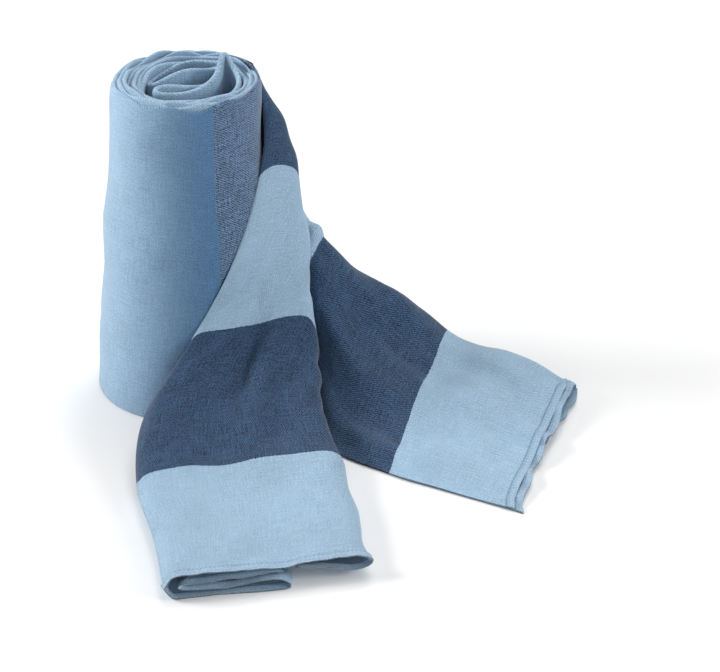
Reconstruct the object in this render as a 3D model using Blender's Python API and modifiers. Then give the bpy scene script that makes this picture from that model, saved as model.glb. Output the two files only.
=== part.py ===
# Baby wrap sling: one long woven cloth, folded once along its length into a two-ply band, rolled up
# from its middle with both ends lying loose. Metres, +Z up, the roll's axis is the Z axis.
import math

import bmesh
import bpy
from mathutils import Matrix, Vector

# The band: the cloth's width is twice the band's height
BAND_HEIGHT = 0.350
BAND_THICK = 0.0020
BLOCK_LENGTH = 0.170        # one woven block of colour
BLOCK_COUNT = 25            # odd, so that both ends are light
DARK_BLOCKS = (2, 4, 20, 24)  # counted from the front hem; the others are light
BLOCK_GAP = 0.0003          # between one block's solid and the next

# The roll
CORE_RADIUS = 0.02981       # of a circle as large as what the loose middle takes up
TURN_PITCH = 0.0125         # a turn holds both halves of the band, so twice the layer spacing
FRONT_LEAVES_AT = math.radians(30)
BACK_LEAVES_AT = math.radians(60)

# The tails
FRONT_FREE = 0.640          # length of the band that has left the roll
BACK_FREE_BLOCKS = 3
ROLLED_LENGTH = (BLOCK_COUNT - BACK_FREE_BLOCKS) * BLOCK_LENGTH - FRONT_FREE
# to the band's centre, where the back tail leaves: the roll's area is its length by its layers
ROLL_RADIUS = math.sqrt(ROLLED_LENGTH * TURN_PITCH / math.tau + CORE_RADIUS**2)
# how far inside that the front tail leaves, one layer down
FRONT_INSET = TURN_PITCH / 2 - TURN_PITCH * (BACK_LEAVES_AT - FRONT_LEAVES_AT) / math.tau
SECTION_ROUNDING = 0.026    # how far a fold's bend reaches along the cloth
FOLD_ROOM = 0.045           # a steep band folds over its crest only where it spreads this wide
SHORTEST_STEP = 0.000001
TUCK_SHARE = 0.75           # the most that is tucked under, as a share of the width on top
FLAT_GAP = 0.4 * BAND_THICK   # along the cloth, between a tail's blocks where it lies flat
SLANT_GAP = 1.1 * BAND_THICK  # the same where it slopes, so that the solids still stand clear
LEAVING_GAP = 1.0 * BAND_THICK  # where a tail leaves the roll at a slant

# The hems, their stitches and the tags that mark the middle of the wrap
HEM_WIDTH = 0.008
HEM_THICK = 0.0034
THREAD_RADIUS = 0.0004
STITCH_INSET = 0.005        # from the cloth's end to the line of stitches
FIT_GAP = 0.0003
TAG_WIDTH = 0.012
TAG_HEIGHT = 0.022
TAG_THICK = 0.0010

ROWS_PER_BLOCK = 10
POINTS_ACROSS = 28
SPIRAL_STEP = 0.002         # arc length between two computed points of the roll
POINT_SPACING = 0.009       # between the points that are kept
S_STEPS = 60                # points along each half of the S in the roll's middle
S_BULGE = 0.55              # how far each half bulges sideways, as a share of its reach

# A tail's stations, from its hem to the roll. Each has the cloth's edge and its crest, as
# (distance from the hem as a share of the free length, turn around the roll in degrees, stand-off
# from the roll as a share of the free length, height as a share of the band's height). The cloth
# runs from the edge up to the crest, drops to the floor and is tucked back under itself.
FRONT_STATIONS = (
    (0.000, (-90.0, 0.500, 0.060), (-61.9, 0.513, 0.052)),
    (0.266, (-98.5, 0.246, 0.075), (-49.9, 0.269, 0.062)),
    (0.531, (-86.0, 0.013, 0.265), (-20.5, 0.104, 0.300)),
    (0.797, (-17.4, 0.012, 0.715), (4.7, 0.058, 0.720)),
    (1.000, (30.0, -FRONT_INSET / FRONT_FREE, 1.000), (30.0, -FRONT_INSET / FRONT_FREE, 0.860)),
)
BACK_STATIONS = (
    (0.000, (-37.1, 0.686, 0.000), (-6.2, 0.634, 0.060)),
    (0.333, (-41.2, 0.393, 0.000), (8.7, 0.391, 0.110)),
    (0.500, (-36.0, 0.240, 0.000), (8.0, 0.270, 0.270)),
    (0.667, (-8.0, 0.150, 0.000), (12.0, 0.140, 0.520)),
    (0.833, (23.7, 0.100, 0.000), (36.0, 0.070, 0.740)),
    (1.000, (60.0, 0.000, 0.000), (60.0, 0.000, 1.000)),
)

COLOURS = {
    "light_cloth": (0.38, 0.54, 0.66),
    "dark_cloth": (0.055, 0.105, 0.19),
    "hem_thread": (0.30, 0.44, 0.57),
    "marker_tape": (0.75, 0.77, 0.78),
}


def clear_scene():
    for obj in list(bpy.data.objects):
        bpy.data.objects.remove(obj)


def make_material(slot, node_name):
    mat = bpy.data.materials.new(f"{slot}_{node_name}")
    mat.use_nodes = True
    shader = mat.node_tree.nodes["Principled BSDF"]
    shader.inputs["Base Color"].default_value = (*COLOURS[slot], 1.0)
    shader.inputs["Roughness"].default_value = 0.9
    return mat


def finish_object(obj, slot, collection):
    obj.data.materials.append(make_material(slot, obj.name))
    for owner in list(obj.users_collection):
        owner.objects.unlink(obj)
    collection.objects.link(obj)
    return obj


# ---- the roll: two spirals, one inside the other, joined by an S through the middle ----

def spiral_points(start_angle, start_radius, end_angle):
    """Points along a spiral that winds inwards, turning anticlockwise seen from above."""
    points = []
    angle = start_angle
    while angle < end_angle:
        radius = start_radius - TURN_PITCH * (angle - start_angle) / math.tau
        points.append(Vector((radius * math.cos(angle), radius * math.sin(angle))))
        angle += SPIRAL_STEP / radius
    radius = start_radius - TURN_PITCH * (end_angle - start_angle) / math.tau
    points.append(Vector((radius * math.cos(end_angle), radius * math.sin(end_angle))))
    return points


def middle_points(start, end):
    """The S that joins the inner ends of the two spirals: two half ovals that meet on the axis."""
    heading = (start - end).normalized()
    across = Vector((-heading.y, heading.x))
    points = []
    for reach, side in ((start.length, 1.0), (end.length, -1.0)):
        for step in range(1, S_STEPS):
            turn = math.pi * (step if side > 0 else S_STEPS - step) / S_STEPS
            along = side * reach / 2 * (1 + math.cos(turn))
            points.append(heading * along + across * side * reach * S_BULGE * math.sin(turn))
        if side > 0:
            points.append(Vector((0.0, 0.0)))
    return points


def path_length(points):
    return sum((b - a).length for a, b in zip(points, points[1:]))


def roll_path():
    """The band's line in plan, from where the front tail leaves to where the back tail leaves."""
    layer = TURN_PITCH / 2
    back_free = BACK_FREE_BLOCKS * BLOCK_LENGTH
    wanted = BLOCK_COUNT * BLOCK_LENGTH - FRONT_FREE - back_free
    behind = (BACK_LEAVES_AT - FRONT_LEAVES_AT) / math.tau
    front_radius = ROLL_RADIUS - layer + TURN_PITCH * behind

    def whole(end_angle):
        front = spiral_points(FRONT_LEAVES_AT, front_radius, end_angle)
        back = spiral_points(BACK_LEAVES_AT, ROLL_RADIUS, end_angle + math.pi)
        return front + middle_points(front[-1], back[-1]) + back[::-1]

    low, high = math.tau, 8 * math.tau
    for _ in range(40):
        middle = (low + high) / 2
        if path_length(whole(middle)) < wanted:
            low = middle
        else:
            high = middle
    return whole(low)


def cut_path(points, start, end):
    """The stretch of a polyline between two distances from its first point."""
    stretch = []
    travelled = 0.0
    for a, b in zip(points, points[1:]):
        step = (b - a).length
        for mark in (start, end):
            if travelled <= mark < travelled + step:
                stretch.append(a.lerp(b, (mark - travelled) / step))
        if start < travelled + step < end:
            stretch.append(b.copy())
        travelled += step
    if end >= travelled:
        stretch.append(points[-1].copy())
    return stretch


def thin_out(points, spacing):
    """Fewer points on a polyline. Its ends keep their short steps, so neighbours meet squarely."""
    kept = points[:2]
    for point in points[2:-2]:
        if (point - kept[-1]).length >= spacing:
            kept.append(point)
    return kept + points[-2:]


def band_on_edge(name, line, slot, collection):
    """A stretch of the band that stands on edge: a line in plan, raised and given its thickness."""
    mesh = bpy.data.meshes.new(name)
    shape = bmesh.new()
    corners = [shape.verts.new((point.x, point.y, 0.0)) for point in line]
    edges = [shape.edges.new(pair) for pair in zip(corners, corners[1:])]
    raised = bmesh.ops.extrude_edge_only(shape, edges=edges)["geom"]
    bmesh.ops.translate(shape, vec=(0, 0, BAND_HEIGHT),
                        verts=[item for item in raised if isinstance(item, bmesh.types.BMVert)])
    shape.to_mesh(mesh)
    shape.free()
    obj = bpy.data.objects.new(name, mesh)
    collection.objects.link(obj)
    thicken(obj, BAND_THICK)
    return finish_object(obj, slot, collection)


def thicken(obj, thickness):
    shell = obj.modifiers.new("thickness", "SOLIDIFY")
    shell.thickness = thickness
    shell.offset = 0.0
    shell.use_rim = True


# ---- the tails: a loft of folded sections ----

def smooth_value(stations, share, pick):
    """Catmull-Rom through one value of the stations, at a share of the free length."""
    marks = [station[0] for station in stations]
    values = [pick(station) for station in stations]
    index = 0
    while index < len(marks) - 2 and share > marks[index + 1]:
        index += 1
    a, b = marks[index], marks[index + 1]
    t = (share - a) / (b - a)

    def slope(at):
        before, after = max(at - 1, 0), min(at + 1, len(marks) - 1)
        return (values[after] - values[before]) / (marks[after] - marks[before])

    t2, t3 = t * t, t * t * t
    return ((2 * t3 - 3 * t2 + 1) * values[index] + (t3 - 2 * t2 + t) * (b - a) * slope(index)
            + (3 * t2 - 2 * t3) * values[index + 1] + (t3 - t2) * (b - a) * slope(index + 1))


def station_point(stations, share, which, free_length, floor):
    degrees, stand_off, height = (
        smooth_value(stations, share, lambda station, part=part: station[which][part])
        for part in range(3))
    turn = math.radians(degrees)
    reach = ROLL_RADIUS + stand_off * free_length
    return Vector((reach * math.cos(turn), reach * math.sin(turn),
                   min(max(height * BAND_HEIGHT, floor), BAND_HEIGHT)))


def rounded(points, reach):
    """A polyline with each inner corner replaced by a bend."""
    line = [points[0]]
    for before, corner, after in zip(points, points[1:], points[2:]):
        near = min(reach, (corner - before).length * 0.45, (after - corner).length * 0.45)
        start = corner + (before - corner).normalized() * near
        end = corner + (after - corner).normalized() * near
        for step in range(9):
            t = step / 8
            line.append((1 - t) ** 2 * start + 2 * t * (1 - t) * corner + t * t * end)
    line.append(points[-1])
    return line


def section(stations, free_length, from_hem, floor):
    """One line across the band, from its edge over the crest to the tucked end."""
    share = min(from_hem / free_length, 1.0)
    edge = station_point(stations, share, 1, free_length, floor)
    crest = station_point(stations, share, 2, free_length, floor)
    if share > 0.999:
        return [Vector((edge.x, edge.y, abs(BAND_HEIGHT * step / 40 - edge.z))) for step in range(41)]
    foot = Vector((crest.x, crest.y, floor))
    inward = Vector((edge.x - crest.x, edge.y - crest.y, 0.0))
    tuck = foot + inward * TUCK_SHARE
    line = rounded([edge, crest, foot, tuck], SECTION_ROUNDING)
    width = BAND_HEIGHT
    if crest.z > edge.z:
        run = (crest - edge).length
        width = run + max(BAND_HEIGHT - run, 0.0) * min(inward.length / FOLD_ROOM, 1.0)
    kept = [line[0]]
    travelled = 0.0
    for a, b in zip(line, line[1:]):
        step = (b - a).length
        if travelled + step >= width:
            kept.append(a.lerp(b, (width - travelled) / step))
            break
        if step > SHORTEST_STEP:
            kept.append(b)
        travelled += step
    return kept


def spaced(line, count):
    """The same line as count points at equal distances."""
    length = path_length(line)
    out = [line[0].copy()]
    travelled = 0.0
    for a, b in zip(line, line[1:]):
        step = (b - a).length
        while len(out) < count - 1 and travelled + step >= length * len(out) / (count - 1):
            out.append(a.lerp(b, (length * len(out) / (count - 1) - travelled) / step))
        travelled += step
    out.append(line[-1].copy())
    return out


def loft(name, rows, thickness, slot, collection):
    mesh = bpy.data.meshes.new(name)
    shape = bmesh.new()
    grid = [[shape.verts.new(point) for point in row] for row in rows]
    for near, far in zip(grid, grid[1:]):
        for a, b, c, d in zip(near, near[1:], far[1:], far):
            shape.faces.new((a, b, c))
            shape.faces.new((a, c, d))
    bmesh.ops.recalc_face_normals(shape, faces=shape.faces)
    shape.to_mesh(mesh)
    shape.free()
    obj = bpy.data.objects.new(name, mesh)
    collection.objects.link(obj)
    thicken(obj, thickness)
    return finish_object(obj, slot, collection)


def tail_rows(stations, free_length, start, end, thickness, rows):
    """Sections from start to end, as distances from the hem, each lying on the floor."""
    out = []
    for step in range(rows + 1):
        from_hem = start + (end - start) * step / rows
        out.append(spaced(section(stations, free_length, from_hem, thickness / 2), POINTS_ACROSS))
    return out


def hem_thread(name, stations, free_length, collection):
    """One row of stitches as a continuous thread along the hem's upper face."""
    edge, bend = section(stations, free_length, STITCH_INSET, HEM_THICK / 2)[:2]
    lift = Vector((0, 0, HEM_THICK / 2 + 2 * FIT_GAP + THREAD_RADIUS))
    start = edge.lerp(bend, 0.03) + lift
    end = edge.lerp(bend, 0.97) + lift
    curve = bpy.data.curves.new(name, "CURVE")
    curve.dimensions = "3D"
    curve.bevel_depth = THREAD_RADIUS
    curve.bevel_resolution = 2
    curve.use_fill_caps = True
    spline = curve.splines.new("POLY")
    spline.points.add(1)
    spline.points[0].co = (*start, 1)
    spline.points[1].co = (*end, 1)
    obj = bpy.data.objects.new(name, curve)
    collection.objects.link(obj)
    return finish_object(obj, "hem_thread", collection)


def block_slot(number):
    return "dark_cloth" if number in DARK_BLOCKS else "light_cloth"


def make_tail(side, stations, free_length, count, collection):
    """The blocks that have left the roll, their hem and its stitches. Block 1 is at the hem."""
    for number in range(1, count + 1):
        before = FLAT_GAP if number <= 2 else SLANT_GAP
        after = FLAT_GAP if number == 1 else SLANT_GAP
        start = HEM_WIDTH + before if number == 1 else (number - 1) * BLOCK_LENGTH + before / 2
        end = min(number * BLOCK_LENGTH - after / 2, free_length - LEAVING_GAP)
        rows = tail_rows(stations, free_length, start, end, BAND_THICK, ROWS_PER_BLOCK)
        index = number if side == "front" else BLOCK_COUNT + 1 - number
        loft(f"{side}_block_{number:02d}", rows, BAND_THICK, block_slot(index), collection)
    rows = tail_rows(stations, free_length, 0.0, HEM_WIDTH, HEM_THICK, 1)
    loft(f"{side}_hem", rows, HEM_THICK, "light_cloth", collection)
    hem_thread(f"{side}_hem_thread", stations, free_length, collection)


def make_roll(collection):
    path = roll_path()
    front_done = FRONT_FREE
    total = BLOCK_COUNT * BLOCK_LENGTH
    middle = (BLOCK_COUNT + 1) // 2
    first = math.ceil(FRONT_FREE / BLOCK_LENGTH)
    for index in range(first, BLOCK_COUNT - BACK_FREE_BLOCKS + 1):
        start = max((index - 1) * BLOCK_LENGTH, FRONT_FREE) - front_done + BLOCK_GAP / 2
        end = min(index * BLOCK_LENGTH, total) - front_done - BLOCK_GAP / 2
        line = thin_out(cut_path(path, start, end), POINT_SPACING)
        if index < middle:
            name = f"front_block_{index:02d}"
        elif index == middle:
            name = "middle_block"
        else:
            name = f"back_block_{BLOCK_COUNT + 1 - index:02d}"
        if index == first:
            name = f"front_block_{index:02d}_rolled"
        band_on_edge(name, line, block_slot(index), collection)
    return path


def make_tags(path, collection):
    """Two tags, one on each ply at the middle of the wrap, near the cloth's long edges."""
    half_way = BLOCK_COUNT * BLOCK_LENGTH / 2 - FRONT_FREE
    stretch = cut_path(path, half_way - TAG_WIDTH / 2, half_way + TAG_WIDTH / 2)
    before, after = stretch[0], stretch[-1]
    centre = (before + after) / 2
    heading = (after - before).normalized()
    sideways = Vector((-heading.y, heading.x))
    bulge = max(abs((point - centre).dot(sideways)) for point in stretch)
    for side, name in ((1, "centre_tag_front_ply"), (-1, "centre_tag_back_ply")):
        offset = sideways * side * (BAND_THICK / 2 + bulge + FIT_GAP + TAG_THICK / 2)
        bpy.ops.mesh.primitive_cube_add(size=1.0)
        tag = bpy.context.active_object
        tag.name = name
        tag.data.transform(Matrix.Diagonal((TAG_WIDTH, TAG_THICK, TAG_HEIGHT, 1.0)))
        tag.rotation_euler.z = math.atan2(heading.y, heading.x)
        tag.location = (centre.x + offset.x, centre.y + offset.y, TAG_HEIGHT / 2 + FIT_GAP)
        finish_object(tag, "marker_tape", collection)


def main():
    clear_scene()
    collection = bpy.data.collections.new("baby_wrap_sling")
    bpy.context.scene.collection.children.link(collection)
    path = make_roll(collection)
    make_tags(path, collection)
    make_tail("front", FRONT_STATIONS, FRONT_FREE, 4, collection)
    make_tail("back", BACK_STATIONS, BACK_FREE_BLOCKS * BLOCK_LENGTH, BACK_FREE_BLOCKS, collection)


main()
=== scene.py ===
import math
import bpy
import numpy as np
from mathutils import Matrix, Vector


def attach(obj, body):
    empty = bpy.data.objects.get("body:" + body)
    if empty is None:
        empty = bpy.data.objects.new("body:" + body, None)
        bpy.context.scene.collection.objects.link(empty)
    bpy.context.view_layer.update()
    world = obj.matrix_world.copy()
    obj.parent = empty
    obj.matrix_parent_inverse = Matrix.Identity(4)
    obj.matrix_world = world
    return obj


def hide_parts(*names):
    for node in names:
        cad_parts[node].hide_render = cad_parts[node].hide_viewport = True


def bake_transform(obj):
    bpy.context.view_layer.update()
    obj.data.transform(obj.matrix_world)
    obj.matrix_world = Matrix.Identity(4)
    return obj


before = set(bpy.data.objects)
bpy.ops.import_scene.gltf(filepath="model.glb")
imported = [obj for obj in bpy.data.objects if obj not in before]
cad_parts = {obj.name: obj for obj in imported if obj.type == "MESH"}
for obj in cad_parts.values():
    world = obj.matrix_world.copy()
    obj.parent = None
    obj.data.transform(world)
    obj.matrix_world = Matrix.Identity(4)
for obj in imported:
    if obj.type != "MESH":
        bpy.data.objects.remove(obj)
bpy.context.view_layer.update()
print("frame loaded")

cloth = {
    "width": 0.70,  # across, before it is folded
    "length": 4.25,
    "block": 0.17,  # length of one colour block
    "height": 0.35,  # the folded band
    "frontLeaves": 0.64,  # cloth length from the front hem to the roll
    "backLeaves": 0.51,
}


def toLinear(hexColour):
    parts = [int(hexColour[i : i + 2], 16) / 255 for i in (1, 3, 5)]
    return tuple(c / 12.92 if c <= 0.04045 else ((c + 0.055) / 1.055) ** 2.4 for c in parts) + (1.0,)


def smoothAlong(knots, values, at):
    # a curve through values at knots, smooth at each of them
    knots = np.asarray(knots, float)
    values = np.asarray(values, float)
    at = np.asarray(at, float)
    slope = np.diff(values, axis=0) / np.diff(knots).reshape((-1,) + (1,) * (values.ndim - 1))
    gap = np.diff(knots)
    inner = (slope[:-1].T * gap[1:] + slope[1:].T * gap[:-1]) / (gap[1:] + gap[:-1])
    slopes = np.concatenate([slope[:1], inner.T, slope[-1:]])
    low = np.clip(np.searchsorted(knots, at, "right") - 1, 0, len(knots) - 2)
    span = gap[low].reshape((-1,) + (1,) * (values.ndim - 1))
    x = ((at - knots[low]) / gap[low]).reshape(span.shape)
    a = values[low]
    b = values[low + 1]
    return (
        a * (2 * x**3 - 3 * x**2 + 1)
        + b * (3 * x**2 - 2 * x**3)
        + span * slopes[low] * (x**3 - 2 * x**2 + x)
        + span * slopes[low + 1] * (x**3 - x**2)
    )


def evenly(points, count):
    # points resampled at equal distances on a smooth curve
    points = np.asarray(points, float)
    steps = np.sqrt((np.diff(points, axis=0) ** 2).sum(1)) ** 0.5
    knots = np.concatenate([[0], np.cumsum(steps)])
    fine = smoothAlong(knots, points, np.linspace(0, knots[-1], 600))
    walked = np.concatenate([[0], np.cumsum(np.sqrt((np.diff(fine, axis=0) ** 2).sum(1)))])
    wanted = np.linspace(0, walked[-1], count)
    return np.stack([np.interp(wanted, walked, fine[:, k]) for k in range(points.shape[1])], 1)


def ripple(u, v, size, seed, waves=14):
    # smooth deterministic unevenness of unit height, with features about size metres wide
    rng = np.random.default_rng(seed)
    total = np.zeros(np.broadcast(u, v).shape)
    for _ in range(waves):
        angle = rng.uniform(0, math.pi)
        pitch = math.tau / (size * rng.uniform(0.6, 1.8))
        total += np.sin(pitch * (u * math.cos(angle) + v * math.sin(angle)) + rng.uniform(0, math.tau))
    return total / math.sqrt(waves / 2) / 2


def bump(x, centre, width):
    return np.exp(-(((x - centre) / width) ** 2))


def gridNormals(grid):
    along = np.gradient(grid, axis=0)
    across = np.gradient(grid, axis=1)
    normal = np.cross(along, across)
    return normal / np.maximum(np.linalg.norm(normal, axis=2, keepdims=True), 1e-12)


def clothMesh(name, grid, normals, u, v, thick, material):
    # a grid of cloth given its thickness, closed round its edge
    n, m = grid.shape[:2]
    thick = np.broadcast_to(thick, (n, m))[..., None] / 2
    outside = (grid + normals * thick).reshape(-1, 3)
    inside = (grid - normals * thick).reshape(-1, 3)
    points = np.concatenate([outside, inside])
    points[:, 2] = np.maximum(points[:, 2], 0.0002)  # just off the floor
    index = np.arange(n * m).reshape(n, m)
    quads = np.stack([index[:-1, :-1], index[1:, :-1], index[1:, 1:], index[:-1, 1:]], -1).reshape(-1, 4)
    under = quads[:, ::-1] + n * m
    rim = []
    for line, flip in ((index[0], False), (index[-1], True), (index[:, 0], True), (index[:, -1], False)):
        a, b = line[:-1], line[1:]
        strip = np.stack([a, b, b + n * m, a + n * m], -1)
        rim.append(strip[:, ::-1] if flip else strip)
    faces = np.concatenate([quads, under] + rim)
    mesh = bpy.data.meshes.new(name)
    mesh.from_pydata(points.tolist(), [], faces.tolist())
    uvGrid = np.stack([np.broadcast_to(u[:, None], (n, m)), np.broadcast_to(v, (n, m))], -1)
    uv = np.tile(uvGrid.reshape(-1, 2), (2, 1))  # metres along and across the cloth
    layer = mesh.uv_layers.new(name="cloth")
    layer.data.foreach_set("uv", uv[faces.reshape(-1)].reshape(-1))
    mesh.polygons.foreach_set("use_smooth", np.ones(len(faces), bool))
    mesh.update()
    both = np.concatenate([normals.reshape(-1, 3), -normals.reshape(-1, 3)])
    mesh.normals_split_custom_set_from_vertices(both.tolist())
    mesh.materials.append(material)
    piece = bpy.data.objects.new(name, mesh)
    bpy.context.scene.collection.objects.link(piece)
    return piece


def addNode(tree, kind, inputs=None, **settings):
    node = tree.nodes.new(kind)
    for key, value in settings.items():
        setattr(node, key, value)
    for key, value in (inputs or {}).items():
        socket = node.inputs[key]
        if isinstance(value, bpy.types.NodeSocket):
            tree.links.new(value, socket)
        else:
            socket.default_value = value
    return node


def math2(tree, operation, a, b=0.0):
    return addNode(tree, "ShaderNodeMath", {0: a, 1: b}, operation=operation).outputs[0]


def startMaterial(name):
    material = bpy.data.materials.new(name)
    material.use_nodes = True
    tree = material.node_tree
    tree.nodes.clear()
    out = addNode(tree, "ShaderNodeOutputMaterial")
    shader = addNode(tree, "ShaderNodeBsdfPrincipled")
    tree.links.new(shader.outputs[0], out.inputs["Surface"])
    return material, tree, shader


twill = {
    "light": "#96B1C7",
    "paintedShade": "#456D93",  # painted shade, tinted blue: the light block darkened where it meets the paler one, on the front of the roll beside the front tail
    "paintedShadeFade": 180.0,  # per square metre of cloth
    "paintedShadeShare": 0.92,
    "dark": "#324964",
    "darkBlocks": (1.0, 3.0, 19.0, 23.0),  # counted from the front hem, which is in block 0
    "paler": "#576E89",  # the dark block round the roll
    "palerBlock": 19.0,
    "hemGrooveShade": 0.0092,  # painted shade along the groove beside the rolled hem
    "roughness": 0.86,
    "sheen": 0.25,
    "pitch": 0.0021,  # between two diagonals
    "thread": 0.0013,  # between two yarns
    "bump": 0.00035,
}


def makeTwill():
    # soft matt cotton twill, woven in two blues, its diagonals and yarns drawn coarser than real ones
    material, tree, shader = startMaterial("woven_cotton_twill")
    uv = addNode(tree, "ShaderNodeUVMap", uv_map="cloth")
    parts = addNode(tree, "ShaderNodeSeparateXYZ", {0: uv.outputs[0]})
    u, v = parts.outputs[0], parts.outputs[1]

    def noise(scaleU, scaleV, detail=2.0):
        given = {0: uv.outputs[0], 1: (scaleU, scaleV, 1.0)}
        scaled = addNode(tree, "ShaderNodeVectorMath", given, operation="MULTIPLY")
        given = {"Vector": scaled.outputs[0], "Scale": 1.0, "Detail": detail}
        node = addNode(tree, "ShaderNodeTexNoise", given)
        return math2(tree, "SUBTRACT", node.outputs[0], 0.5)

    def mixed(factor, colourA, colourB):
        given = {0: factor, 6: colourA, 7: colourB}
        return addNode(tree, "ShaderNodeMix", given, data_type="RGBA").outputs[2]

    def isBlock(number):
        given = {0: block, 1: number, 2: 0.1}
        return addNode(tree, "ShaderNodeMath", given, operation="COMPARE").outputs[0]

    jag = math2(tree, "MULTIPLY", noise(4.0, 900.0, 1.0), 0.0030)  # yarn by yarn at a block's edge
    sway = math2(tree, "MULTIPLY", noise(3.0, 11.0, 1.0), 0.0130)  # of the whole edge
    edge = math2(tree, "ADD", math2(tree, "ADD", u, jag), sway)
    block = math2(tree, "FLOOR", math2(tree, "DIVIDE", edge, cloth["block"]))
    isDark = None
    for number in twill["darkBlocks"]:
        isDark = isBlock(number) if isDark is None else math2(tree, "ADD", isDark, isBlock(number))
    bend = math2(tree, "MULTIPLY", noise(90.0, 90.0), 0.0022)
    slant = math2(tree, "ADD", math2(tree, "MULTIPLY", u, 0.57), math2(tree, "MULTIPLY", v, 0.82))
    diagonal = math2(tree, "ADD", slant, bend)
    lines = math2(tree, "SINE", math2(tree, "MULTIPLY", diagonal, math.tau / twill["pitch"]))
    warp = noise(45.0, 1 / twill["thread"], 3.0)
    weft = noise(1 / twill["thread"], 45.0, 3.0)
    fleck = noise(700.0, 560.0, 2.0)
    cloud = noise(16.0, 16.0, 3.0)
    threads = math2(tree, "ADD", warp, weft)
    contrast = addNode(tree, "ShaderNodeMapRange", {0: isDark, 3: 0.65, 4: 2.3}).outputs[0]
    value = math2(tree, "MULTIPLY", lines, 0.20)
    value = math2(tree, "ADD", value, math2(tree, "MULTIPLY", threads, 0.75))
    value = math2(tree, "ADD", value, math2(tree, "MULTIPLY", fleck, 1.5))
    value = math2(tree, "MULTIPLY", value, contrast)
    value = math2(tree, "ADD", value, math2(tree, "MULTIPLY", cloud, 0.28))
    gain = math2(tree, "ADD", value, 1.0)
    # painted shade on the roll beside the front tail, strongest at the paler block's edge and fading
    # along the light block
    pastEdge = math2(tree, "SUBTRACT", edge, (twill["palerBlock"] + 1) * cloth["block"])
    squared = math2(tree, "MULTIPLY", pastEdge, pastEdge)
    fade = math2(tree, "EXPONENT", math2(tree, "MULTIPLY", squared, -twill["paintedShadeFade"]))
    after = math2(tree, "GREATER_THAN", pastEdge, 0.0)
    paintedShade = math2(tree, "MULTIPLY", math2(tree, "MULTIPLY", after, fade), twill["paintedShadeShare"])
    darker = mixed(isBlock(twill["palerBlock"]), toLinear(twill["dark"]), toLinear(twill["paler"]))
    lightWithPaintedShade = mixed(paintedShade, toLinear(twill["light"]), toLinear(twill["paintedShade"]))
    colour = mixed(isDark, lightWithPaintedShade, darker)
    # painted shade: a darker line in the groove beside each rolled hem
    fromEnd = math2(tree, "MINIMUM", u, math2(tree, "SUBTRACT", cloth["length"], u))
    off = math2(tree, "ABSOLUTE", math2(tree, "SUBTRACT", fromEnd, twill["hemGrooveShade"]))
    grooveShade = addNode(tree, "ShaderNodeMapRange", {0: off, 1: 0.0, 2: 0.0016, 3: 0.62, 4: 1.0}).outputs[0]
    gain = math2(tree, "MULTIPLY", gain, grooveShade)
    shaded = addNode(tree, "ShaderNodeVectorMath", {0: colour, 3: gain}, operation="SCALE")
    tree.links.new(shaded.outputs[0], shader.inputs["Base Color"])
    height = math2(tree, "ADD", math2(tree, "MULTIPLY", lines, 0.3), threads)
    relief = addNode(
        tree, "ShaderNodeBump", {"Height": height, "Distance": twill["bump"], "Strength": 0.6}
    )
    tree.links.new(relief.outputs[0], shader.inputs["Normal"])
    shader.inputs["Roughness"].default_value = twill["roughness"]
    shader.inputs["Sheen Weight"].default_value = twill["sheen"]
    shader.inputs["Sheen Roughness"].default_value = 0.4
    shader.inputs["Specular IOR Level"].default_value = 0.25
    return material


def makePlain(name, colour, roughness, scale, depth):
    # a matt finish with a fine grain, scale grains to the metre
    material, tree, shader = startMaterial(name)
    place = addNode(tree, "ShaderNodeTexCoord")
    given = {"Vector": place.outputs["Object"], "Scale": scale, "Detail": 3.0}
    grain = addNode(tree, "ShaderNodeTexNoise", given)
    tone = addNode(tree, "ShaderNodeMapRange", {0: grain.outputs[0], 3: 0.9, 4: 1.06})
    given = {0: toLinear(colour)[:3], 3: tone.outputs[0]}
    shaded = addNode(tree, "ShaderNodeVectorMath", given, operation="SCALE")
    tree.links.new(shaded.outputs[0], shader.inputs["Base Color"])
    given = {"Height": grain.outputs[0], "Distance": depth, "Strength": 0.5}
    relief = addNode(tree, "ShaderNodeBump", given)
    tree.links.new(relief.outputs[0], shader.inputs["Normal"])
    shader.inputs["Roughness"].default_value = roughness
    return material


twillMaterial = makeTwill()
threadMaterial = makePlain("cotton_sewing_thread", "#86A1B8", 0.7, 2500.0, 0.0001)
tagMaterial = makePlain("woven_marker_tape", "#C3D3E0", 0.8, 1800.0, 0.0002)
print("materials made")

roll = {
    "radius": 0.0855,
    "frontAngle": math.radians(30),
    "backAngle": math.radians(60),
    "turns": 3.0,  # of each arm before the loose middle
    "lean": 0.009,  # of the top, in x
    "step": 0.0046,  # of the mesh along the cloth
    "thick": 0.0007,  # of one ply
    "layers": 6,  # of folded band between the outside and the loose middle
    "looseSpacing": 0.0058,
    "looseSize": 1.14,  # times the plan below
    "rim": 0.3512,
    "rimWave": 0.0042,
    "halfRows": 30,
}
rollHeights = [0.0, 0.07, 0.13, 0.20, 0.234, 0.297, 0.328, 0.343, 0.3552]
rollRadii = [0.0965, 0.0944, 0.0897, 0.0870, 0.0832, 0.0795, 0.0784, 0.0770, 0.0738]
# the thickness of the wound layers: thin at the right and behind, wide at the left and in front
woundAngles = [-90, 0, 50, 90, 180, 270, 360, 410, 450]
woundDepths = [0.027, 0.018, 0.018, 0.018, 0.034, 0.027, 0.018, 0.018, 0.018]
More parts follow.
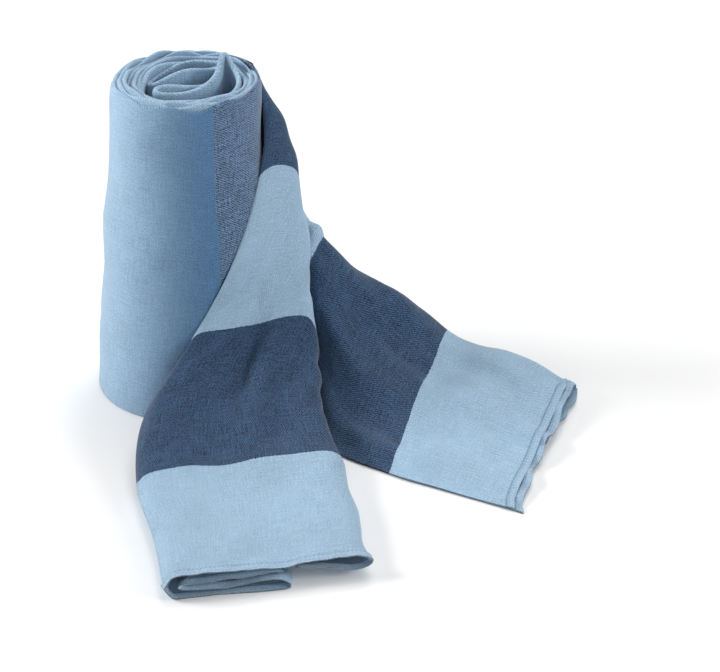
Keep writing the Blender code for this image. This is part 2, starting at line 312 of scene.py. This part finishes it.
# the loose middle, folded to and fro, from the front arm's inner end to the back arm's
loosePlan = [(33, 47), (4, 51), (-26, 36), (-38, 17), (-37, 8), (-31, 8), (-14, 18), (8, 30), (24, 38),
             (31, 38), (30, 31), (16, 14), (-6, -1), (-24, -9), (-31, -16), (-27, -23), (-12, -18),
             (10, -8), (25, 5), (34, 26), (38, 36), (43, 28), (50, 12), (49, -6), (38, -24), (18, -38),
             (-6, -43), (-28, -36), (-41, -14), (-43, 10), (-34, 34), (-10, 52), (14, 58)]


def woundSpacing(angle):
    return np.interp(np.degrees(angle) % 360, woundAngles, woundDepths) / roll["layers"]


def arm(startAngle, startLayer):
    angle = np.arange(0, roll["turns"] * math.tau, 0.02)
    layer = startLayer + 2 * angle / math.tau
    angle = angle + startAngle
    radius = roll["radius"] - woundSpacing(angle) * layer
    return np.stack([radius * np.cos(angle), radius * np.sin(angle)], 1)


frontArm = arm(roll["frontAngle"], 0.83)
backArm = arm(roll["backAngle"], 0.0)
loose = np.array(loosePlan) / 1000 * roll["looseSize"]
keys = np.concatenate([frontArm[-30::10], loose, backArm[:-31:-10]])
steps = np.sqrt(np.sqrt((np.diff(keys, axis=0) ** 2).sum(1)))
knots = np.concatenate([[0], np.cumsum(steps)])
middle = smoothAlong(knots, keys, np.linspace(knots[2], knots[-3], 500))
plan = np.concatenate([frontArm[:-11], middle, backArm[-11::-1]])
walked = np.concatenate([[0], np.cumsum(np.sqrt((np.diff(plan, axis=0) ** 2).sum(1)))])
rollLength = cloth["length"] - cloth["frontLeaves"] - cloth["backLeaves"]
print("path in the roll", round(float(walked[-1]), 3), "of", round(rollLength, 3))
count = int(walked[-1] / roll["step"])
along = np.linspace(0, walked[-1], count)
plan = np.stack([np.interp(along, walked, plan[:, k]) for k in (0, 1)], 1)
plan[2:-2] = (plan[:-4] + 2 * plan[1:-3] + 3 * plan[2:-2] + 2 * plan[3:-1] + plan[4:]) / 9
extra = rollLength - walked[-1]
taken = np.clip((along - 1.15) / (walked[-1] - 2.30), 0, 1)
rollU = cloth["frontLeaves"] + along + extra * taken  # what the path lacks is in the loose middle
direction = np.gradient(plan, axis=0)
direction /= np.linalg.norm(direction, axis=1)[:, None]
leftward = np.stack([-direction[:, 1], direction[:, 0]], 1)
turnedAt = np.arctan2(plan[:, 1], plan[:, 0])
inMiddle = np.linalg.norm(plan, axis=1) < roll["radius"] - 5.3 * woundSpacing(turnedAt)
share = np.convolve(np.pad(inMiddle.astype(float), 12, "edge"), np.ones(25) / 25, "valid")
spacing = woundSpacing(turnedAt) * (1 - share) + roll["looseSpacing"] * share


def bandRows(count):
    # heights up one ply, closer together near the top fold
    share = np.linspace(0, 1, count)
    return 1 - (1 - share) ** 1.6


def foldSection(gapLow, gapTop, top, rows):
    # offset and height of both plies, from one lower edge over the fold to the other
    turn = np.linspace(0, math.pi / 2, 6)[1:]
    radius = gapTop / 2
    height = rows * (top - radius)
    near = np.clip((height - (top - 0.05)) / 0.05, 0, 1)
    half = gapLow / 2 + (gapTop - gapLow) / 2 * near * near * (3 - 2 * near)
    offset = np.concatenate([-half, -radius * np.cos(turn)])
    height = np.concatenate([height, top - radius + radius * np.sin(turn)])
    return np.concatenate([offset, -offset[-2::-1]]), np.concatenate([height, height[-2::-1]])


rows = bandRows(roll["halfRows"])
sectionCount = len(foldSection(0.002, 0.004, 0.35, rows)[0])
begun = np.clip((rollU - cloth["frontLeaves"]) / 0.1, 0, 1)
rim = roll["rim"] + roll["rimWave"] * ripple(rollU, 0 * rollU, 0.06, 4) * begun
peak = bump(plan[:, 0], 0.042, 0.012) * bump(plan[:, 1], 0.038, 0.014) * share  # one fold stands up
rim = rim + 0.012 * peak - 0.0055 * share + 0.0045 * share * ripple(rollU, 0 * rollU, 0.10, 6)
rollGrid = np.zeros((len(rollU), sectionCount, 3))
for i in range(len(rollU)):
    offset, height = foldSection(0.40 * spacing[i], 0.76 * spacing[i], rim[i], rows)
    scale = np.interp(height, rollHeights, rollRadii) / roll["radius"]
    flat = plan[i] * scale[:, None] + offset[:, None] * leftward[i]
    turned = np.arctan2(flat[:, 1], flat[:, 0])
    high = np.clip(height / cloth["height"], 0, 1) ** 2
    oval = 0.035 * bump(turned, 0.2, 0.8) - 0.03 * bump(turned, 2.5, 0.7)  # fuller at the right
    flat = flat * (1 + high * oval)[:, None]
    rollGrid[i, :, 0] = flat[:, 0] + roll["lean"] * height / cloth["height"]
    rollGrid[i, :, 1] = flat[:, 1]
    rollGrid[i, :, 2] = height + 0.0008
angle = np.arctan2(rollGrid[..., 1], rollGrid[..., 0])
swell = 0.0015 * ripple(angle * 0.08, rollGrid[..., 2], 0.09, 9)  # soft dents in the outside
for k in (0, 1):
    rollGrid[..., k] *= 1 + swell / 0.084
walk = np.concatenate([[0], np.cumsum(np.linalg.norm(np.diff(rollGrid[0], axis=0), axis=1))])
rollV = walk / walk[-1] * cloth["width"]
shareOfSection = rollV / cloth["width"]
print("roll laid out")


def frontSections():
    # each: cloth length from hem, fold edge x y, heading of the section, outline (along, height)
    hem = [(.130,.0195),(.165,.013),(.190,.010),(.203,.016),(.193,.024),(.10,.0225),(.012,.025),(0,.013),
           (.010,.0015),(.06,.001),(.112,.001),(.123,.005),(.114,.0095),(.06,.008),(.018,.009),
           (.012,.0135),(.018,.016),(.06,.0165),(.115,.0165)]
    half = [(.10,.002),(.187,.002),(.205,.013),(.196,.025),(.10,.027),(.012,.027),(0,.016),
            (.011,.004),(.09,.003),(.15,.003),(.158,.008),(.150,.0125),(.08,.013),(.02,.014),
            (.012,.0155),(.02,.018),(.06,.018)]
    first = [(.075,.002),(.195,.005),(.209,.016),(.199,.029),(.10,.030),(.012,.029),(0,.018),
             (.012,.006),(.10,.006),(.18,.008),(.192,.013),(.18,.017),(.10,.017),(.02,.017)]
    rise = [(.07,.002),(.165,.004),(.184,.014),(.182,.040),(.10,.056),(.015,.058),(0,.046),
            (.012,.036),(.08,.042),(.16,.034),(.176,.026),(.170,.016),(.12,.012),(.04,.012)]
    second = [(.06,.002),(.122,.002),(.136,.02),(.137,.085),(.128,.106),(.07,.106),(.01,.105),(0,.096),
              (.012,.085),(.07,.090),(.113,.090),(.124,.08),(.124,.03),(.112,.012),(.07,.010)]
    between = [(.04,.002),(.080,.004),(.090,.03),(.092,.13),(.087,.172),(.05,.182),(.008,.182),(0,.174),
               (.006,.165),(.045,.168),(.074,.160),(.079,.12),(.079,.03),(.066,.008)]
    third = [(.03,.002),(.047,.004),(.052,.03),(.052,.22),(.046,.252),(.02,.262),(.004,.256),(0,.245),
             (.006,.236),(.026,.243),(.038,.235),(.042,.2),(.042,.02),(.036,.008)]
    fourth = [(.022,.002),(.03,.02),(.031,.15),(.030,.28),(.024,.305),(.012,.312),(.002,.306),(0,.300),
              (.003,.292),(.012,.296),(.020,.285),(.022,.25),(.022,.02),(.016,.006)]
    return [
        (0.00, (0.0010, -0.416), 12.6, hem, 7),
        (0.085, (-0.0135, -0.336), 14.5, half, 6),
        (0.17, (-0.0365, -0.2404), 12.5, first, 6),
        (0.255, (-0.034, -0.158), 13.0, rise, 6),
        (0.34, (0.010, -0.094), 19.6, second, 7),
        (0.425, (0.054, -0.0705), 31.6, between, 7),
        (0.51, (0.081, -0.026), 34.7, third, 7),
        (0.58, (0.0880, 0.0006), 45.0, fourth, 7),
    ]


def backSections():
    # outline of the outer ply, from the near edge over the far crest to the fold tucked under
    hem = [(0,.004),(.06,.010),(.14,.015),(.215,.020),
           (.236,.018),(.241,.009),(.228,.002),(.16,.0015),(.13,.0015)]
    half = [(0,.003),(.05,.012),(.13,.021),(.215,.031),
            (.241,.029),(.249,.017),(.232,.005),(.17,.002),(.135,.002)]
    first = [(0,.003),(.05,.014),(.12,.026),(.21,.041),
             (.237,.040),(.246,.026),(.232,.010),(.18,.004),(.145,.003)]
    second = [(0,.002),(.03,.012),(.10,.044),(.17,.070),
              (.205,.074),(.219,.060),(.214,.03),(.195,.008),(.15,.004)]
    third = [(0,.002),(.006,.05),(.026,.108),(.050,.136),
             (.070,.140),(.082,.125),(.086,.07),(.086,.03),(.08,.010)]
    fourth = [(0,.002),(.002,.08),(.004,.15),(.010,.195),
              (.020,.203),(.029,.194),(.032,.17),(.032,.13),(.032,.08)]
    return [
        (0.00, (0.336, -0.260), (0.410, -0.034), hem),
        (0.085, (0.2665, -0.223), (0.344, 0.0105), half),
        (0.17, (0.2144, -0.193), (0.2812, 0.043), first),
        (0.235, (0.156, -0.145), (0.229, 0.060), second),
        (0.32, (0.136, -0.030), (0.160, 0.045), third),
        (0.41, (0.104, 0.045), (0.104, 0.075), fourth),
    ]


def placed(outline, start, heading):
    along = np.array([math.cos(heading), math.sin(heading)])
    flat = np.array(start) + outline[:, :1] * along
    return np.concatenate([flat, outline[:, 1:]], 1)


tailHalf = 80
tailShares = np.linspace(0, 1, 2 * tailHalf - 1)


def frontStation(entry):
    station, start, heading, outline, foldAt = entry
    outer = evenly(outline[: foldAt + 1], tailHalf)
    inner = evenly(outline[foldAt:], tailHalf)
    return placed(np.concatenate([outer, inner[1:]]), start, math.radians(heading))


def backStation(entry, gap):
    station, near, far, outline = entry
    heading = math.atan2(far[1] - near[1], far[0] - near[0])
    outer = evenly(outline, tailHalf)
    tangent = np.gradient(outer, axis=0)
    tangent /= np.linalg.norm(tangent, axis=1)[:, None]
    inward = np.stack([tangent[:, 1], -tangent[:, 0]], 1)
    apart = gap * np.clip((1 - np.linspace(0, 1, tailHalf)) / 0.03, 0, 1) ** 0.5
    inner = outer + inward * apart[:, None]
    inner[:, 1] = np.maximum(inner[:, 1], 0.0008)
    outer[:, 1] = np.maximum(outer[:, 1], 0.0008)
    return placed(np.concatenate([inner, outer[-2::-1]]), near, heading)


def rollSection(column):
    return np.stack([np.interp(tailShares, shareOfSection, rollGrid[column, :, k]) for k in range(3)], 1)


def tailRows(reach, step):
    fine = [0, 0.0006, 0.0016, 0.003, 0.0048, 0.0066, 0.0078, 0.0086, 0.0098, 0.0125]
    return np.array(fine + list(np.linspace(0.016, reach, int((reach - 0.016) / step))))


frontS = tailRows(cloth["frontLeaves"], 0.0042)
frontKnots = [e[0] for e in frontSections()] + [cloth["frontLeaves"], rollU[6]]
frontShapes = [frontStation(e) for e in frontSections()] + [rollSection(0), rollSection(6)]
frontGrid = smoothAlong(frontKnots, frontShapes, frontS)
backS = tailRows(cloth["backLeaves"], 0.0042)
backKnots = [e[0] for e in backSections()] + [cloth["backLeaves"], cloth["length"] - rollU[-7]]
backShapes = [backStation(e, 0.0035) for e in backSections()] + [rollSection(-1), rollSection(-7)]
backGrid = smoothAlong(backKnots, backShapes, backS)
print("tails laid out")

tail = {"thick": 0.0009, "hemThick": 0.0036, "hem": 0.0088}


def tailThickness(s):
    inHem = np.clip((tail["hem"] - s) / 0.001, 0, 1)
    rounded = np.sqrt(np.clip(s / 0.0022, 0.12, 1))
    return (tail["thick"] + (tail["hemThick"] - tail["thick"]) * inHem) * rounded


tailV = tailShares * cloth["width"]
fadeFront = np.clip((cloth["frontLeaves"] - frontS) / 0.08, 0, 1)[:, None]
fadeBack = np.clip((cloth["backLeaves"] - backS) / 0.08, 0, 1)[:, None]
frontNormals = gridNormals(frontGrid)
backNormals = -gridNormals(backGrid)
frontAt = frontS[:, None]
backAt = backS[:, None]
fromFold = np.abs(tailV - cloth["width"] / 2)[None, :]
frontPly = np.where(tailV < 0.35, 1.0, -1.0)[None, :]  # the normals of the two plies point apart
# each crease: its height, where it is and how far it spreads along, the same across, its slant
frontCreases = [
    (-0.0140, 0.295, 0.045, 0.2485, 0.013, 0.3),
    (0.0085, 0.240, 0.030, 0.214, 0.024, 0),
    (-0.0050, 0.410, 0.060, 0.286, 0.020, 0),
    (0.0040, 0.400, 0.070, 0.250, 0.020, 0),
    (0.0036, 0.372, 0.035, 0.295, 0.035, 0),  # clears the roll
]
backCreases = [
    (-0.0095, 0.250, 0.070, 0.5055, 0.030, 0.55),
    (0.0070, 0.270, 0.070, 0.4515, 0.028, 0.55),
    (-0.0050, 0.200, 0.050, 0.600, 0.030, 0),
]


def creased(fold, creases, s, across):
    for height, alongAt, alongWidth, acrossAt, acrossWidth, slant in creases:
        ridge = bump(across - slant * (s - alongAt), acrossAt, acrossWidth)
        fold = fold + height * bump(s, alongAt, alongWidth) * ridge
    return fold


acrossAt = 0.35 - fromFold
frontFold = 0.0013 * ripple(frontAt, acrossAt, 0.07, 21)
frontFold = frontFold + 0.0030 * ripple(frontAt * 0.35, acrossAt, 0.055, 23) * bump(frontAt, 0.30, 0.16)
frontFold = creased(frontFold, frontCreases, frontAt, acrossAt)
acrossAt = 0.35 + fromFold
backFold = 0.0012 * ripple(backAt, acrossAt, 0.06, 22)
backFold = backFold + 0.0036 * ripple(backAt * 0.3 + acrossAt * 0.25, acrossAt, 0.06, 25)
backFold = creased(backFold, backCreases, backAt, acrossAt)
fan = (acrossAt - 0.60) / (0.09 + 0.9 * np.clip(0.18 - backAt, 0, 1))  # creases that spread to the hem
backFold = backFold + 0.0042 * np.sin(fan * 5.5 + 0.6) * bump(backAt, 0.09, 0.075) * bump(fan, -0.2, 1.1)
ridgeFade = np.clip(fromFold / 0.035, 0.15, 1)
frontFold = frontFold * np.clip(frontGrid[..., 2] / 0.012, 0.08, 1)  # flat where it lies on the floor
backFold = backFold * np.clip(backGrid[..., 2] / 0.010, 0.08, 1)
frontGrid = frontGrid + frontNormals * (fadeFront * frontFold * frontPly * ridgeFade)[..., None]
backGrid = backGrid + backNormals * (fadeBack * backFold * -frontPly * ridgeFade)[..., None]

gathers = {
    "wave": 0.036,  # of cloth in one gather
    # for the outer and the inner ply: distances from the fold where they are none and full
    "front": ((0.17, 0.25), (0.03, 0.08)),
    "back": ((0.13, 0.07), (-1.0, -0.5)),
    "frontFullness": 2.0,
    "backFullness": 1.35,
    "begin": (0.235, 0.29),  # cloth length from the hem
}


def evened(line):
    return np.convolve(np.pad(line, 6, "edge"), np.ones(13) / 13, "valid")


def gathered(grid, normals, s, outerSide, outward, fade, spans, fullness):
    # spare cloth drawn up in small pleats under the tail, as deep as its length needs
    stretch = np.linalg.norm(np.gradient(grid, s, axis=0), axis=2)
    spare = np.sqrt(np.clip(1 - stretch**2, 0, 1))
    spare = np.apply_along_axis(evened, 0, spare)
    first, full = gathers["begin"]
    begun = np.clip((s[:, None] - first) / (full - first), 0, 1)
    depth = gathers["wave"] / math.tau * fullness * spare * fade * begun
    distance = np.broadcast_to(fromFold, depth.shape)
    weight = np.zeros(depth.shape)
    for side, span in ((outerSide, spans[0]), (~outerSide, spans[1])):
        share = np.clip((distance - span[0]) / (span[1] - span[0]), 0, 1)
        weight[:, side] = (share * share * (3 - 2 * share))[:, side]
    phase = math.tau * s[:, None] / gathers["wave"] + 1.2 * ripple(s[:, None], distance, 0.16, 41)
    wave = (np.sin(phase) - 1) * depth * weight
    return grid + normals * (wave * outward)[..., None]


frontOuter = tailV < 0.35
backOuter = tailV > 0.35
frontGrid = gathered(frontGrid, gridNormals(frontGrid), frontS, frontOuter, frontPly, fadeFront,
                     gathers["front"], gathers["frontFullness"])
backGrid = gathered(backGrid, -gridNormals(backGrid), backS, backOuter, -frontPly, fadeBack,
                    gathers["back"], gathers["backFullness"])
# the lower ply of the back end lies further out, with a wavy edge and small tips at its corners
lower = np.clip((0.33 - tailV) / 0.03, 0, 1)
reach = lower * (0.0060 + 0.0030 * ripple(tailV, 0 * tailV, 0.05, 31)) + 0.002 * bump(tailV, 0.35, 0.16)
reach = reach + 0.009 * bump(tailV, 0.0, 0.008) + 0.004 * bump(tailV, 0.70, 0.008)


def atHem(s, depth, across):
    # a change that is full at the hem and gone a few times depth along the cloth
    return np.exp(-((s / depth) ** 2))[:, None] * across[None, :]


edgePull = atHem(backS, 0.03, reach)
backGrid[..., 0] += edgePull * 0.88
backGrid[..., 1] -= edgePull * 0.47
backGrid[..., 2] += np.abs(atHem(backS, 0.03, 0.0028 * ripple(tailV, 0 * tailV, 0.035, 33)))
frontGrid[..., 2] += atHem(frontS, 0.02, 0.0014 * ripple(tailV, 0 * tailV, 0.035, 34))
frontGrid[..., 1] -= atHem(frontS, 0.04, 0.006 * bump(tailV, 0.47, 0.05))
frontGrid[..., 2] = np.maximum(frontGrid[..., 2], 0.0010)
backGrid[..., 2] = np.maximum(backGrid[..., 2], 0.0010)
frontNormals = gridNormals(frontGrid)
backNormals = -gridNormals(backGrid)
rollNormals = gridNormals(rollGrid)


def tailPart(name, s, grid, normals, first, last, flip):
    keep = (s >= first - 1e-9) & (s <= last + 1e-9)
    part, partNormals, partS = grid[keep], normals[keep], s[keep]
    thick = tailThickness(partS)[:, None]
    u = partS
    if flip:
        part, partNormals, partS, thick = part[::-1], partNormals[::-1], partS[::-1], thick[::-1]
        u = cloth["length"] - partS
    return clothMesh(name, part, partNormals, u, tailV, thick, twillMaterial)


splitFront = frontS[np.argmin(abs(frontS - 0.255))]
splitBack = backS[np.argmin(abs(backS - 0.255))]
frontLower = tailPart("front_tail_end_cloth", frontS, frontGrid, frontNormals, 0, splitFront, False)
frontUpper = tailPart("front_tail_rise_cloth", frontS, frontGrid, frontNormals, splitFront, 1, False)
backLower = tailPart("back_tail_end_cloth", backS, backGrid, backNormals, 0, splitBack, True)
backUpper = tailPart("back_tail_rise_cloth", backS, backGrid, backNormals, splitBack, 1, True)
rolled = clothMesh("rolled_cloth", rollGrid, rollNormals, rollU, rollV, roll["thick"], twillMaterial)
print("cloth meshes made")


stitch = {
    "length": 0.0026,
    "spacing": 0.0042,
    "radius": 0.00032,
    "inset": 0.0068,  # from the hem's edge
    "seed": 7,
}


def stitchTree():
    # small thread stitches laid along a line, each sunk at its ends
    tree = bpy.data.node_groups.new("stitch_line", "GeometryNodeTree")
    face = tree.interface
    face.new_socket("Geometry", in_out="INPUT", socket_type="NodeSocketGeometry")
    for label, kind in (("Length", "Float"), ("Spacing", "Float"), ("Radius", "Float"), ("Seed", "Int")):
        face.new_socket(label, in_out="INPUT", socket_type="NodeSocket" + kind)
    face.new_socket("Thread", in_out="INPUT", socket_type="NodeSocketMaterial")
    face.new_socket("Geometry", in_out="OUTPUT", socket_type="NodeSocketGeometry")
    given = addNode(tree, "NodeGroupInput")
    out = addNode(tree, "NodeGroupOutput")
    line = addNode(tree, "GeometryNodeMeshToCurve", {"Mesh": given.outputs["Geometry"]})
    points = addNode(
        tree,
        "GeometryNodeCurveToPoints",
        {"Curve": line.outputs[0], "Length": given.outputs["Spacing"]},
        mode="LENGTH",
    )
    bead = addNode(tree, "GeometryNodeMeshUVSphere", {"Segments": 8, "Rings": 6, "Radius": 1.0})
    uneven = addNode(
        tree,
        "FunctionNodeRandomValue",
        {2: 0.85, 3: 1.15, "Seed": given.outputs["Seed"]},
        data_type="FLOAT",
    )
    half = math2(tree, "MULTIPLY", given.outputs["Length"], 0.5)
    long = math2(tree, "MULTIPLY", half, uneven.outputs[1])
    size = addNode(
        tree, "ShaderNodeCombineXYZ", {0: given.outputs["Radius"], 1: given.outputs["Radius"], 2: long}
    )
    placedBeads = addNode(
        tree,
        "GeometryNodeInstanceOnPoints",
        {
            "Points": points.outputs["Points"],
            "Instance": bead.outputs["Mesh"],
            "Rotation": points.outputs["Rotation"],
            "Scale": size.outputs[0],
        },
    )
    real = addNode(tree, "GeometryNodeRealizeInstances", {0: placedBeads.outputs[0]})
    finish = {"Geometry": real.outputs[0], "Material": given.outputs["Thread"]}
    shaded = addNode(tree, "GeometryNodeSetMaterial", finish)
    tree.links.new(shaded.outputs[0], out.inputs[0])
    return tree


stitchGroup = stitchTree()


def stitchLine(name, points):
    mesh = bpy.data.meshes.new(name + "_line")
    mesh.from_pydata(points.tolist(), [(i, i + 1) for i in range(len(points) - 1)], [])
    carrier = bpy.data.objects.new(name + "_line", mesh)
    bpy.context.scene.collection.objects.link(carrier)
    modifier = carrier.modifiers.new("stitches", "NODES")
    modifier.node_group = stitchGroup
    values = {
        "Length": stitch["length"],
        "Spacing": stitch["spacing"],
        "Radius": stitch["radius"],
        "Seed": stitch["seed"],
        "Thread": threadMaterial,
    }
    for item in stitchGroup.interface.items_tree:
        if item.in_out == "INPUT" and item.name in values:
            modifier[item.identifier] = values[item.name]
    graph = bpy.context.evaluated_depsgraph_get()
    made = bpy.data.meshes.new_from_object(carrier.evaluated_get(graph))
    made.name = name
    bpy.data.objects.remove(carrier)
    made.polygons.foreach_set("use_smooth", np.ones(len(made.polygons), bool))
    piece = bpy.data.objects.new(name, made)
    bpy.context.scene.collection.objects.link(piece)
    return piece


def alongHem(s, grid, normals, side):
    row = np.argmin(abs(s - stitch["inset"]))
    lift = tailThickness(s[row : row + 1])[0] / 2 + stitch["radius"] * 0.35
    return grid[row] + normals[row] * lift * side


def hemStitches(name, s, grid, normals, side):
    return stitchLine(name, alongHem(s, grid, normals, side)[2:-2])


frontStitches = hemStitches("front_hem_stitches", frontS, frontGrid, frontNormals, -1)
backStitches = hemStitches("back_hem_stitches", backS, backGrid, backNormals, 1)
frontStitchesInside = hemStitches("front_hem_stitches_inside", frontS, frontGrid, frontNormals, 1)
backStitchesInside = hemStitches("back_hem_stitches_inside", backS, backGrid, backNormals, -1)
print("stitches made", len(frontStitches.data.polygons))


def block(side, first, last):
    return [f"{side}_block_{i:02d}" for i in range(first, last + 1)]


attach(rolled, "root")
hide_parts(*block("front", 5, 12), *block("back", 4, 12))
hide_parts("middle_block", "front_block_04_rolled")


def place(values):
    return tuple(float(x) for x in values)


def blendAt(piece):
    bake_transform(piece)


blendAt(frontUpper)
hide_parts("front_block_04", "front_block_03")
blendAt(frontLower)
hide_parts("front_block_02", "front_block_01", "front_hem")
blendAt(backUpper)
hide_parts("back_block_03")
blendAt(backLower)
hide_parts("back_block_02", "back_block_01", "back_hem")

tag = {"width": 0.012, "height": 0.022, "thick": 0.0008, "rise": 0.003}


def markerTag(name, cadTag, columns, side):
    # a folded tape sewn flat on one ply where the cloth is half its length, near the edge
    rowsAt = np.linspace(-1, 1, 7) * tag["width"] / 2 + cloth["length"] / 2
    heights = tag["rise"] + np.linspace(0, 1, 12) * tag["height"]
    order = columns if rollGrid[0, columns[0], 2] < rollGrid[0, columns[-1], 2] else columns[::-1]
    grid = np.zeros((len(rowsAt), len(heights), 3))
    lift = np.zeros((len(rowsAt), len(heights), 3))
    for i, u in enumerate(rowsAt):
        column = [np.array([np.interp(u, rollU, rollGrid[:, c, k]) for k in range(3)]) for c in order]
        facing = [np.array([np.interp(u, rollU, rollNormals[:, c, k]) for k in range(3)]) for c in order]
        levels = [point[2] for point in column]
        for k in range(3):
            grid[i, :, k] = np.interp(heights, levels, [point[k] for point in column])
            lift[i, :, k] = np.interp(heights, levels, [point[k] for point in facing])
    grid += lift * side * (roll["thick"] + tag["thick"]) / 2
    piece = clothMesh(name, grid, lift, rowsAt, heights, tag["thick"], tagMaterial)
    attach(piece, "root")
    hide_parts(cadTag)


lowest = list(range(10))  # of the roll's rows, on the front ply; the back ply's are the last
highest = list(range(sectionCount - 10, sectionCount))
markerTag("middle_marker_front_ply", "centre_tag_front_ply", lowest, 1)
markerTag("middle_marker_back_ply", "centre_tag_back_ply", highest, -1)
for piece, body, cadThread in (
    (frontStitches, "front_end", "front_hem_thread"),
    (frontStitchesInside, "front_end", None),
    (backStitches, "back_end", "back_hem_thread"),
    (backStitchesInside, "back_end", None),
):
    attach(piece, body)
    if cadThread:
        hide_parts(cadThread)
print("pieces bound")

floorMesh = bpy.data.meshes.new("floor")
floorMesh.from_pydata([(-6, -6, 0), (6, -6, 0), (6, 6, 0), (-6, 6, 0)], [], [(0, 1, 2, 3)])
floor = bpy.data.objects.new("floor", floorMesh)
bpy.context.scene.collection.objects.link(floor)
floorMesh.materials.append(makePlain("matt_white_sweep", "#FAFAFA", 0.9, 3.0, 0.0001))


def areaLight(name, place, target, size, power):
    data = bpy.data.lights.new(name, "AREA")
    data.shape = "DISK"
    data.size = size
    data.energy = power
    light = bpy.data.objects.new(name, data)
    light.location = place
    light.rotation_euler = (Vector(target) - Vector(place)).to_track_quat("-Z", "Y").to_euler()
    bpy.context.scene.collection.objects.link(light)


areaLight("key", (-2.3, 0.0, 1.40), (0.05, -0.1, 0.15), 1.1, 62)
areaLight("fill", (0.4, -2.6, 1.1), (0.1, -0.1, 0.1), 1.8, 16)
areaLight("top", (0.5, 0.3, 2.6), (0.15, -0.1, 0.0), 1.7, 22)
areaLight("side", (2.3, -0.9, 1.3), (0.1, -0.1, 0.2), 1.0, 26)
areaLight("behind", (0.9, 2.6, 2.4), (0.5, 2.2, 0.0), 2.0, 45)
world = bpy.data.worlds.new("studio")
world.use_nodes = True
world.node_tree.nodes["Background"].inputs[0].default_value = (1, 1, 1, 1)
world.node_tree.nodes["Background"].inputs[1].default_value = 0.15
bpy.context.scene.view_settings.view_transform = "Standard"
bpy.context.scene.world = world

cameraData = bpy.data.cameras.new("camera")
cameraData.lens = 140.4
cameraData.sensor_width = 36
camera = bpy.data.objects.new("camera", cameraData)
camera.location = (0.186, -2.6, 1.535)
camera.rotation_euler = (math.radians(60.3), 0, 0)
bpy.context.scene.collection.objects.link(camera)
bpy.context.scene.camera = camera

print("scene finished")
